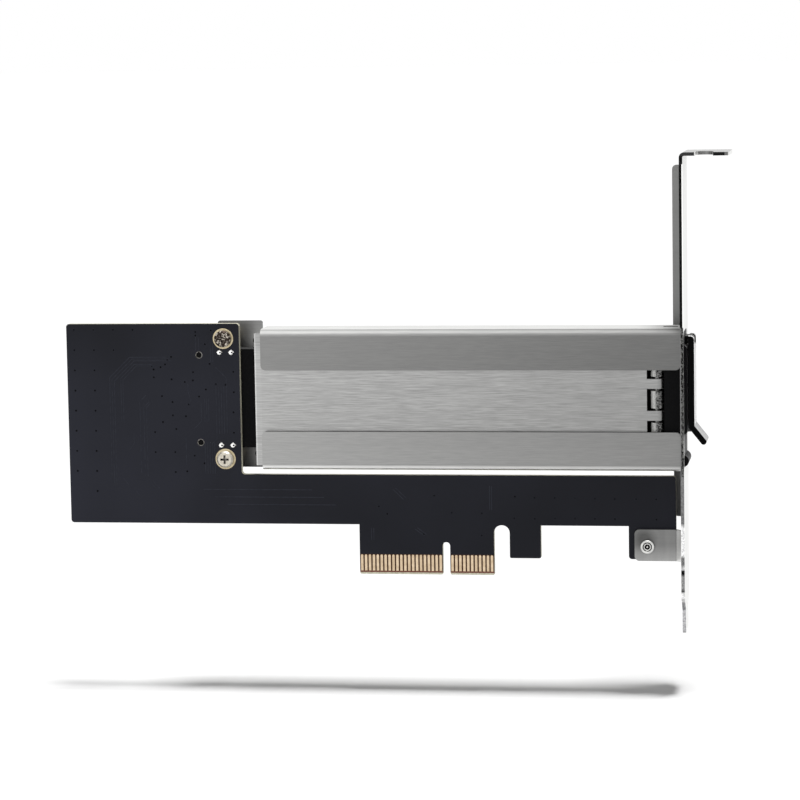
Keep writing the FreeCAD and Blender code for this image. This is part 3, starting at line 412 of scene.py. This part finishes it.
def bracket_material():
    """Plated sheet: a painted reflection on the outer face, painted light on the joggle and the
    tab's top, painted shade round the lug screw, grey folds, and cut edges in black, white and
    grey bands.
    """
    outer_side, sheet_inside, edge_front = 59.85 * MM, 59.72 * MM, -2.45 * MM
    tip_top, lug_top, foot_top, flange_bottom = -6.2 * MM, 12.2 * MM, 25.5 * MM, 62.5 * MM
    flange_top, tab_bottom = 102.6 * MM, 104.6 * MM
    material, shader, tree, colour = brushed("bracket_steel", (0.158, 0.158, 0.156),
                                             (0.178, 0.178, 0.175), UPRIGHT_LINES)
    x, y, z = tree.axes()
    facing_x, facing_y, facing_z = tree.facing()
    grain = tree.noise(tree.coords, 3000, 3.0)

    # Painted shade on the lug round its screw, and painted light towards the lug's bottom
    screw = tree.add("ShaderNodeVectorMath")
    screw.operation = "DISTANCE"
    screw.inputs[1].default_value = (49.9 * MM, -1.2 * MM, 9.6 * MM)
    tree.link(tree.coords, screw.inputs[0])
    shade = tree.times(
        tree.span(screw.outputs["Value"], 0.5, 1.0, 1.2 * MM, 3.6 * MM),
        tree.span(z, 1.85, 1.0, 3.6 * MM, 8.2 * MM),
    )
    low = tree.below(z, lug_top)
    lug = tree.times(low, tree.below(y, -0.3 * MM))
    # Painted light on the joggle and the tab's top, and a painted reflection on the outer face:
    # all three are painted much brighter
    joggle = tree.times(tree.above(x, 57.8 * MM), low, tree.below(y, 0.2 * MM))
    crest = tree.times(tree.above(z, tab_bottom), tree.above(facing_z, SQUARE_ON))
    outer_reflection = tree.times(tree.above(x, outer_side), tree.above(facing_x, SQUARE_ON))
    body = tree.mix(lug, colour, tree.shaded(colour, shade))
    body = tree.mix(joggle, body, tree.shaded(colour, 4.6))
    body = tree.mix(crest, body, tree.shaded(colour, 2.4))
    body = tree.mix(outer_reflection, body, tree.shaded(colour, 4.7))

    # The cut edges that face the front, from the flange to the tab and down the foot, in black,
    # white and grey bands
    white = (0.85, 0.85, 0.84)
    black = tree.ramp(grain, (0.4, 0.003), (0.7, 0.02))
    rough = tree.ramp(grain, (0.45, 0.005), (0.62, (0.15, 0.15, 0.145)))
    rough = tree.mix(tree.below(x, 59.25 * MM), rough, grey(0.16))
    thin = tree.times(tree.above(x, sheet_inside), tree.below(z, flange_top))
    foot = tree.ramp(
        tree.span(z, 0.0, 1.0, -14.5 * MM, foot_top),
        (0.19, 0.4), (0.2, 0.85), (0.27, 0.85), (0.28, 0.01), (0.3, 0.3), (0.37, 0.3),
        (0.39, 0.005), (0.41, 0.005), (0.42, 0.8), (0.45, 0.2), (0.49, 0.2), (0.51, 0.85),
        (0.68, 0.85), (0.71, 0.2), (1.0, 0.2),
    )
    foot = tree.mix(0.6, foot, tree.ramp(grain, (0.4, 0.3), (0.6, 1.0)), "MULTIPLY")
    tab = tree.ramp(
        tree.span(x, 0.0, 1.0, 60 * MM, 72 * MM),
        (0.0, 0.03), (0.23, 0.03), (0.25, white), (0.31, white), (0.33, 0.1), (0.45, 0.03),
        (0.58, 0.1), (0.6, 0.01), (0.86, 0.01), (0.88, white),
    )
    rim = tree.mix(tree.above(z, flange_bottom), rough, tree.mix(thin, black, white))
    rim = tree.mix(tree.above(z, tab_bottom), rim, tab)
    rim = tree.mix(tree.below(z, foot_top), rim, foot)
    near = tree.times(tree.below(y, edge_front), tree.above(facing_y, SQUARE_ON))
    body = tree.mix(near, body, rim)

    tip = tree.times(tree.above(facing_y, HALF_TURNED), tree.below(z, tip_top))
    dull_and_shaded = tree.ramp(grain, (0.35, (0.25, 0.25, 0.26)), (0.65, (0.55, 0.55, 0.56)))
    tree.link(tree.mix(tip, body, dull_and_shaded), shader.inputs["Base Color"])
    return material


def screw_material():
    """Nickel plating, with painted shade: the upper board screw is painted darker, and the lower
    one dark in its recess.
    """
    lower_x, lower_z, recess_half, recess_face = -56.1 * MM, 29.2 * MM, 1.2 * MM, -1.27 * MM
    board_right, upper_bottom = -50 * MM, 57.3 * MM
    material, shader = new_material("screw_steel", 0.28, metallic=1.0)
    tree = Tree(material)
    cloud = tree.noise(tree.coords, 1500, 4.0)
    bright = tree.ramp(cloud, (0.35, (0.42, 0.39, 0.33)), (0.65, (0.56, 0.53, 0.46)))
    dull_and_shaded = tree.ramp(cloud, (0.5, (0.025, 0.018, 0.015)), (0.62, (0.5, 0.46, 0.4)))
    deep_shade = tree.ramp(cloud, (0.48, (0.01, 0.009, 0.008)), (0.64, (0.35, 0.33, 0.3)))
    x, y, z = tree.axes()
    board = tree.below(x, board_right)
    upper = tree.times(board, tree.above(z, upper_bottom))
    recess = tree.times(
        board, tree.above(y, recess_face),
        tree.below(tree.away(x, lower_x), recess_half),
        tree.below(tree.away(z, lower_z), recess_half),
    )
    # Painted shade: the upper board screw is painted darker
    colour = tree.mix(upper, bright, dull_and_shaded)
    # Painted shade: the lower screw's recess is painted dark
    tree.link(tree.mix(recess, colour, deep_shade), shader.inputs["Base Color"])
    tree.link(tree.span(cloud, 0.4, 0.6), shader.inputs["Roughness"])
    return material


def solder_material():
    """Bright tin with painted shade on what faces down and to the right, and in a pit by each pin.
    """
    row_start, pitch, pit_x = -58.6 * MM, 3 * MM, 1.7 * MM
    middle, pit_z, pit_radius = 44.5 * MM, 11.8 * MM, 0.24 * MM
    material, shader = new_material("solder", 0.3, metallic=1.0)
    tree = Tree(material)
    cloud = tree.noise(tree.coords, 2500, 4.0)
    tin = tree.ramp(cloud, (0.35, (0.78, 0.77, 0.75)), (0.65, (0.95, 0.94, 0.92)))
    across, _, up = tree.normals()
    # Painted shade on what faces down and to the right
    low = tree.span(tree.math("SUBTRACT", across, up), 0.0, 1.0, 0.25, 0.6)
    x, _, z = tree.axes()
    along_row = tree.math("MODULO", tree.math("SUBTRACT", x, row_start), pitch)
    aside = tree.math("SUBTRACT", along_row, pit_x)
    over = tree.math("SUBTRACT", tree.away(z, middle), pit_z)
    reach = tree.math("ADD", tree.times(aside, aside), tree.times(over, over))
    # Painted shade in a small spot by each pin
    low = tree.math("MAXIMUM", low, tree.below(reach, pit_radius ** 2))
    tree.link(tree.mix(low, tin, grey(0.03)), shader.inputs["Base Color"])
    tree.link(tree.span(cloud, 0.3, 0.45), shader.inputs["Roughness"])
    return material


def lever_material():
    """Moulded black, with a painted sheen where it is seen along its surface, pale on the tail and
    white above it, and a painted highlight on its rounded top.
    """
    tail_top, crown_bottom, crown_top = 38 * MM, 58.6 * MM, 59.6 * MM
    material, shader = new_material("lever_black", 0.5, specular=0.02)
    tree = Tree(material)
    grain = tree.noise(tree.coords, 3500, 3.0)
    black = tree.ramp(grain, (0.35, (0.0012, 0.0012, 0.0013)), (0.65, (0.0024, 0.0024, 0.0026)))
    z = tree.axes()[2]
    # Painted sheen: pale on the tail, white above it
    sheen = tree.ramp(grain, (0.3, 0.4), (0.7, 0.62))
    sheen = tree.mix(tree.above(z, tail_top), sheen, grey(1.0))
    # Painted highlight on the rounded top
    crown_highlight = tree.times(
        tree.span(z, 0.0, 1.0, crown_bottom, crown_top),
        tree.span(tree.normals()[2], 0.0, 1.0, 0.15, 0.45),
    )
    lit = tree.math("MAXIMUM", tree.grazing(), crown_highlight)
    tree.link(tree.mix(lit, black, sheen), shader.inputs["Base Color"])
    tree.link(tree.span(grain, 0.42, 0.58), shader.inputs["Roughness"])
    tree.bump(shader, grain, 0.15, GRAIN_BUMP)
    return material


# Dark and light colour, roughness, grain
METALS = {
    "gold": ((0.5, 0.38, 0.25), (0.63, 0.5, 0.35), (0.32, 0.45), 700),
    "brass": ((0.36, 0.3, 0.19), (0.5, 0.43, 0.29), (0.25, 0.4), 900),
    "black_steel": ((0.02, 0.02, 0.021), (0.035, 0.035, 0.036), (0.35, 0.5), 900),
    "dull_copper": ((0.03, 0.028, 0.026), (0.22, 0.21, 0.2), (0.3, 0.4), 1500),
    "tin": ((0.5, 0.5, 0.49), (0.64, 0.64, 0.62), (0.4, 0.55), 1500),
}
# Dark and light colour, roughness, grain, and for some the specular level and the strength of the
# painted sheen
BLACK = (0.003, 0.003, 0.0033), (0.0052, 0.0052, 0.0056), (0.45, 0.6)
PLASTICS = {
    "black_plastic": (*BLACK, 3500, 0.03),
    "socket_black": (*BLACK, 3500, 0.03, 0.06),
    "component_grey": (grey(0.06), grey(0.1), (0.5, 0.65), 3500),
    "component_tan": ((0.3, 0.22, 0.14), (0.4, 0.3, 0.2), (0.3, 0.45), 3500),
    "pad_grey": ((0.3, 0.32, 0.35), (0.38, 0.4, 0.43), (0.6, 0.75), 1200),
    "via": ((0.016, 0.017, 0.023), (0.024, 0.026, 0.034), (0.35, 0.45), 900),
    "via_hole": ((0.0012, 0.0012, 0.0015), (0.0025, 0.0025, 0.003), (0.5, 0.6), 900, 0.02),
    "trace": ((0.019, 0.0205, 0.028), (0.027, 0.029, 0.038), (0.36, 0.46), 900),
}
materials = {
    "board": board_material(),
    "cage_steel": cage_material(),
    "cover_steel": cover_material(),
    "knuckle_steel": knuckle_material(),
    "bracket_steel": bracket_material(),
    "screw_steel": screw_material(),
    "solder": solder_material(),
    "lever_black": lever_material(),
}
for name, values in METALS.items():
    materials[name] = plain_metal(name, *values)
for name, values in PLASTICS.items():
    materials[name] = plastic(name, *values)

own_material = {
    "cage": "cage_steel", "tray_cover": "cover_steel", "tray_base": "knuckle_steel",
    "hinge_pin": "knuckle_steel", "lever": "lever_black", "lever_pin": "black_steel",
    "socket_anchors": "solder", "drive_socket": "socket_black",
}
slot_of = {entry["node"]: entry["material_slot"] for entry in frame["record"]["subparts"]}
for name, node in nodes.items():
    chosen = materials[own_material.get(name, slot_of[name])]
    node.data.materials.clear()
    node.data.materials.append(chosen)


def add_piece(name, mesh, material, body):
    piece = bpy.data.objects.new(name, mesh)
    bpy.context.collection.objects.link(piece)
    piece.data.materials.append(materials[material])
    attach(piece, body)


def mesh_from(shape, name):
    mesh = bpy.data.meshes.new(name)
    shape.to_mesh(mesh)
    shape.free()
    return mesh


def add_shape(shape, name, material):
    """A shape becomes a piece of the card's body, with its faces turned outwards."""
    bmesh.ops.recalc_face_normals(shape, faces=shape.faces)
    add_piece(name, mesh_from(shape, name), material, "card")


VIA_ROWS = (4, 3, 2, 2, 2, 2, 2, 2, 1)
VIA_GRID = [
    (VIA_START[0] + VIA_PITCH[0] * column, VIA_START[1] - VIA_PITCH[1] * row)
    for row, count in enumerate(VIA_ROWS)
    for column in (range(count) if count > 1 else (1,))
]
LOOSE_VIAS = [
    (-63.2, 61.5), (-63.2, 60.6), (-60.8, 58.4), (-59.2, 61.9), (-69.6, 55.2), (-70.6, 54.4),
    (-71.2, 53.3), (-72.4, 52.6), (-74.2, 52.0), (-74.7, 52.8), (-74.2, 50.0), (-69.6, 49.5),
    (-64.0, 51.3), (-64.1, 49.2), (-66.2, 48.8), (-72.2, 45.2), (-69.5, 43.7), (-69.5, 40.3),
    (-66.1, 40.1), (-72.1, 38.6), (-74.2, 36.0), (-74.2, 30.9), (-69.1, 30.9), (-69.1, 25.8),
    (-68.7, 36.8), (-66.1, 26.0), (-64.1, 30.0), (-61.6, 28.1), (-60.8, 46.9), (-62.6, 45.1),
    (-65.3, 43.1), (-58.2, 48.2), (-55.7, 48.1), (-53.6, 51.4), (-53.6, 46.2), (-53.8, 41.1),
    (-53.8, 35.9), (-59.7, 53.4), (-2.9, 20.1), (1.5, 15.8), (17.5, 20.0), (22.4, 19.7),
    (27.5, 19.7), (32.5, 19.6), (37.5, 19.6), (42.5, 19.5), (47.8, 19.5), (52.8, 19.5),
    (17.3, 14.5), (22.4, 14.4), (27.5, 14.5), (32.5, 14.5), (37.5, 14.5), (42.5, 14.5),
    (52.8, 14.4), (9.0, 10.1), (9.1, 15.7), (-14.9, 15.4), (-17.0, 17.3), (-5.7, 10.3),
]


def circle(shape, x, z, radius, depth, steps):
    """A loop of points about (x, z), at a depth in front of the solder face."""
    return [
        shape.verts.new((
            x + radius * math.cos(2 * math.pi * k / steps), -depth,
            z + radius * math.sin(2 * math.pi * k / steps),
        ))
        for k in range(steps)
    ]


def skin(shape, loops, closed=False):
    """Faces between one loop of points and the next."""
    following = loops[1:] + loops[:1] if closed else loops[1:]
    for one, other in zip(loops, following):
        for k in range(len(one)):
            after = (k + 1) % len(one)
            shape.faces.new((one[k], one[after], other[after], other[k]))


def turned(shape, x, z, profile, steps, closed=False):
    """Loops of a profile of radii and depths, in metres, about a place in millimetres."""
    loops = [circle(shape, x * MM, z * MM, radius, depth, steps) for radius, depth in profile]
    skin(shape, loops, closed)
    return loops


def in_mm(profile):
    return [(radius * MM, depth * MM) for radius, depth in profile]


def add_vias():
    """Vias: a low ring of covered copper and a dark disc in the hole, which is painted shade."""
    rings = bmesh.new()
    holes = bmesh.new()
    ring_profile = ((VIA_RING, SKIN), (VIA_CREST, TRACE_RISE),
                    (VIA_HOLE, TRACE_RISE), (VIA_HOLE * 0.9, SKIN))
    hole_profile = ((VIA_HOLE, SKIN), (VIA_HOLE * 0.5, SKIN * 0.5))
    for x, z in VIA_GRID + LOOSE_VIAS:
        turned(rings, x, z, ring_profile, VIA_STEPS, closed=True)
        inner = turned(holes, x, z, hole_profile, VIA_STEPS)[-1]
        holes.faces.new(inner)
    add_shape(rings, "via_rings", "via")
    add_shape(holes, "via_holes", "via_hole")


# Copper runs under the mask: points of the first run, step to the next one, how many
TRACES = (
    (((-85.7, 23.3), (-85.7, 49.9), (-80.4, 55.1), (-70.7, 55.1)), (0.6, -0.45), 3),
    (((-82.8, 38.7), (-82.8, 49.7), (-79.2, 53.3), (-74.6, 53.3)), (0.55, -0.4), 2),
    (((-78.0, 25.5), (-78.0, 43.8), (-76.4, 45.4)), (0.0, 0.0), 1),
    (((-77.0, 24.7), (-77.0, 42.3), (-75.5, 43.8)), (0.7, 0.0), 2),
    (((-80.9, 31.5), (-79.7, 33.2), (-79.7, 35.7)), (0.0, 0.0), 1),
    (((-66.2, 27.6), (-66.2, 35.7)), (0.0, 0.0), 1),
    (((-65.2, 43.1), (-64.8, 44.1), (-65.4, 46.3), (-65.4, 48.1)), (0.0, 0.0), 1),
    (((-64.1, 36.8), (-62.1, 38.8), (-62.1, 43.9)), (0.0, 0.0), 1),
    (((-61.2, 38.7), (-61.2, 44.6)), (0.5, 0.0), 3),
    (((-59.1, 33.4), (-58.2, 34.5), (-58.2, 48.2)), (0.0, 0.0), 1),
    (((-57.5, 35.6), (-57.5, 47.6)), (0.65, 0.0), 3),
    (((-55.5, 35.9), (-55.5, 49.9), (-58.2, 52.5)), (0.0, 0.0), 1),
    (((-61.3, 25.4), (-61.3, 33.4)), (0.62, 0.0), 5),
    (((-63.2, 56.6), (-63.2, 60.2)), (0.75, 0.0), 2),
    (((-59.4, 53.9), (-59.4, 59.0)), (0.6, 0.0), 2),
    (((-82.7, 24.2), (-81.4, 22.4)), (2.7, -2.6), 2),
    (((-75.7, 23.1), (-74.0, 21.2)), (0.6, 0.4), 2),
    (((-62.0, 21.4), (-34.0, 21.4)), (3.0, -1.9), 3),
    (((-13.3, 21.6), (-10.7, 19.1)), (0.6, 0.4), 2),
    (((11.1, 22.6), (11.1, 16.6)), (0.5, 0.0), 2),
    (((-19.0, 11.8), (-19.0, 8.7)), (0.6, 0.0), 2),
    (((-7.9, 11.6), (-5.5, 9.9)), (0.5, 0.4), 2),
)


def add_traces():
    """Copper runs under the mask, as low flat ribbons that follow their bends."""
    shape = bmesh.new()
    half = TRACE_WIDTH * 0.5
    for points, step, count in TRACES:
        for n in range(count):
            path = [Vector((x + step[0] * n, z + step[1] * n)) * MM for x, z in points]
            rows = []
            for i, point in enumerate(path):
                before = (point - path[i - 1]).normalized() if i else None
                after = (path[i + 1] - point).normalized() if i + 1 < len(path) else None
                along = (before or after) + (after or before)
                across = Vector((-along.y, along.x)).normalized() * half
                if before and after:
                    across /= math.cos(before.angle(after) / 2)
                rows.append([
                    shape.verts.new((spot.x, -rise, spot.y))
                    for spot, rise in (
                        (point - across, SKIN), (point - across * TRACE_CREST, TRACE_RISE),
                        (point + across * TRACE_CREST, TRACE_RISE), (point + across, SKIN),
                    )
                ])
            skin(shape, rows)
            shape.faces.new(rows[0])
            shape.faces.new(rows[-1][::-1])
    add_shape(shape, "board_traces", "trace")


def add_rings():
    """Dull copper rings round the socket's peg holes."""
    shape = bmesh.new()
    for x, z in PEG_HOLES:
        profile = in_mm(((0.9, 0.004), (0.87, 0.03), (0.75, 0.03), (0.72, 0.004)))
        turned(shape, x, z, profile, ROUND_STEPS, closed=True)
    add_shape(shape, "peg_rings", "dull_copper")


def add_solder():
    """Four-sided solder cones round the socket's anchor pins."""
    shape = bmesh.new()
    for x, z in ANCHORS:
        profile = in_mm(((0.8, 0.004), (0.66, 0.12), (0.6, 0.28), (0.36, 0.3)))
        turned(shape, x, z, profile, CONE_SIDES)
    add_shape(shape, "anchor_solder", "solder")


def add_contact_ends():
    """Round upper ends of the edge contacts, on both faces of the tongue."""
    shape = bmesh.new()
    for centre in CONTACTS:
        for face, out in ((0.0, -1), (BOARD_BACK, 1)):
            for depth in (0.0, CONTACT_RISE):
                arc = [
                    shape.verts.new((
                        (centre + CONTACT_HALF * math.cos(math.pi * k / CONTACT_STEPS)) * MM,
                        (face + out * depth) * MM,
                        (CONTACT_TOP + CONTACT_HALF * math.sin(math.pi * k / CONTACT_STEPS)) * MM,
                    ))
                    for k in range(CONTACT_STEPS + 1)
                ]
                shape.faces.new(arc)
                if depth:
                    skin(shape, [base, arc])
                base = arc
    add_shape(shape, "contact_ends", "gold")


def add_arm_notch_shade():
    """The notches at the arms' necks are seen filled with black: a dished black disc in each is
    painted shade.
    """
    shape = bmesh.new()
    profile = in_mm(((0.94, -10.2), (0.94, -9.64), (0.86, -9.6), (0.5, -9.68), (0.1, -9.7)))
    for x, z in ARM_NOTCHES:
        loops = turned(shape, x, z, profile, PLUG_STEPS)
        shape.faces.new(loops[0])
        shape.faces.new(loops[-1])
    add_shape(shape, "arm_notch_shade", "black_plastic")


def add_collar_rings():
    """The lug screw's end in its collar: bright rims, and black discs in the grooves between them
    and at the middle, which are painted shade.
    """
    bright = bmesh.new()
    dark = bmesh.new()
    for shape, closed, profiles in (
        (bright, True, (
            ((1.68, 0.004), (1.6, 0.08), (1.24, 0.08), (1.15, 0.004)),
            ((0.93, 0.004), (0.88, 0.07), (0.72, 0.07), (0.66, 0.004)),
            ((0.22, 0.006), (0.18, 0.05), (0.06, 0.06), (0.04, 0.006)),
        )),
        (dark, False, (
            ((1.16, 0.006), (1.05, 0.003), (0.92, 0.006)), ((0.67, 0.006), (0.2, 0.003)),
        )),
    ):
        for profile in profiles:
            proud = [(radius, COLLAR_FACE + rise) for radius, rise in profile]
            turned(shape, *COLLAR, in_mm(proud), ROUND_STEPS, closed)
    add_shape(bright, "collar_rims", "tin")
    add_shape(dark, "collar_groove_shade", "black_plastic")


add_vias()
add_traces()
add_rings()
add_solder()
add_contact_ends()
add_arm_notch_shade()
add_collar_rings()


def camera_only(tree):
    """1 for camera, glossy and transmission rays, which see the white surroundings."""
    path = tree.nodes.new("ShaderNodeLightPath")
    total = path.outputs["Is Camera Ray"]
    for other in ("Is Glossy Ray", "Is Transmission Ray"):
        step = tree.nodes.new("ShaderNodeMath")
        step.operation = "MAXIMUM"
        tree.links.new(total, step.inputs[0])
        tree.links.new(path.outputs[other], step.inputs[1])
        total = step.outputs["Value"]
    return total


def build_world():
    """White to the camera, and a dimmer fill light for the card."""
    world = bpy.data.worlds.new("studio")
    bpy.context.scene.world = world
    world.use_nodes = True
    tree = world.node_tree
    background = tree.nodes["Background"]
    background.inputs["Color"].default_value = (1.0, 1.0, 1.0, 1.0)
    reach = tree.nodes.new("ShaderNodeMapRange")
    reach.inputs["To Min"].default_value = WORLD_FILL
    reach.inputs["To Max"].default_value = WHITE
    tree.links.new(camera_only(tree), reach.inputs["Value"])
    tree.links.new(reach.outputs["Result"], background.inputs["Strength"])


def build_floor():
    """A pale floor below the card that keeps its shadow."""
    shape = bmesh.new()
    bmesh.ops.create_grid(shape, x_segments=1, y_segments=1, size=FLOOR_SIZE)
    floor = bpy.data.objects.new("floor", mesh_from(shape, "floor"))
    floor.location.z = cad_box[0][2] - FLOOR_DROP
    bpy.context.collection.objects.link(floor)
    material, shader = new_material("floor", 0.9, specular=0.0)
    tree = Tree(material)
    cloud = tree.noise(tree.coords, 3, 2.0)
    tree.link(tree.ramp(cloud, (0.3, 0.8), (0.7, 0.83)), shader.inputs["Base Color"])
    floor.data.materials.append(material)


def add_lamp(name, kind, energy, place, direction):
    lamp = bpy.data.lights.new(name, kind)
    lamp.energy = energy
    holder = bpy.data.objects.new(name, lamp)
    holder.location = place
    holder.rotation_euler = direction.to_track_quat("-Z", "Y").to_euler()
    bpy.context.collection.objects.link(holder)
    return lamp


def build_lights():
    """A sun from above, which casts the shadow, and a soft lamp in front."""
    sun = add_lamp("top", "SUN", SUN, (0, 0, 0), Vector(SUN_AIM))
    sun.angle = SUN_ANGLE
    front = add_lamp("front", "AREA", FRONT_POWER, FRONT_PLACE, FRONT_AIM - FRONT_PLACE)
    front.shape = "SQUARE"
    front.size = FRONT_SIZE


def build_camera():
    """The camera stands back from the target and is rolled about its view."""
    back = Vector((
        math.sin(AZIMUTH) * math.cos(ELEVATION),
        -math.cos(AZIMUTH) * math.cos(ELEVATION),
        math.sin(ELEVATION),
    ))
    side = Vector((math.cos(AZIMUTH), math.sin(AZIMUTH), 0.0))
    up = back.cross(side)
    right = side * math.cos(ROLL) + up * math.sin(ROLL)
    up = back.cross(right)
    lens = bpy.data.cameras.new("camera")
    lens.sensor_width = SENSOR
    lens.lens = FOCAL_PX / IMAGE * SENSOR
    lens.clip_start = CLIP_NEAR
    lens.clip_end = CLIP_FAR
    holder = bpy.data.objects.new("camera", lens)
    turn = Matrix((right, up, back)).transposed().to_4x4()
    holder.matrix_world = Matrix.Translation(TARGET + back * DISTANCE) @ turn
    bpy.context.collection.objects.link(holder)
    bpy.context.scene.camera = holder


build_world()
build_floor()
build_lights()
build_camera()
bpy.context.scene.view_settings.view_transform = "Standard"
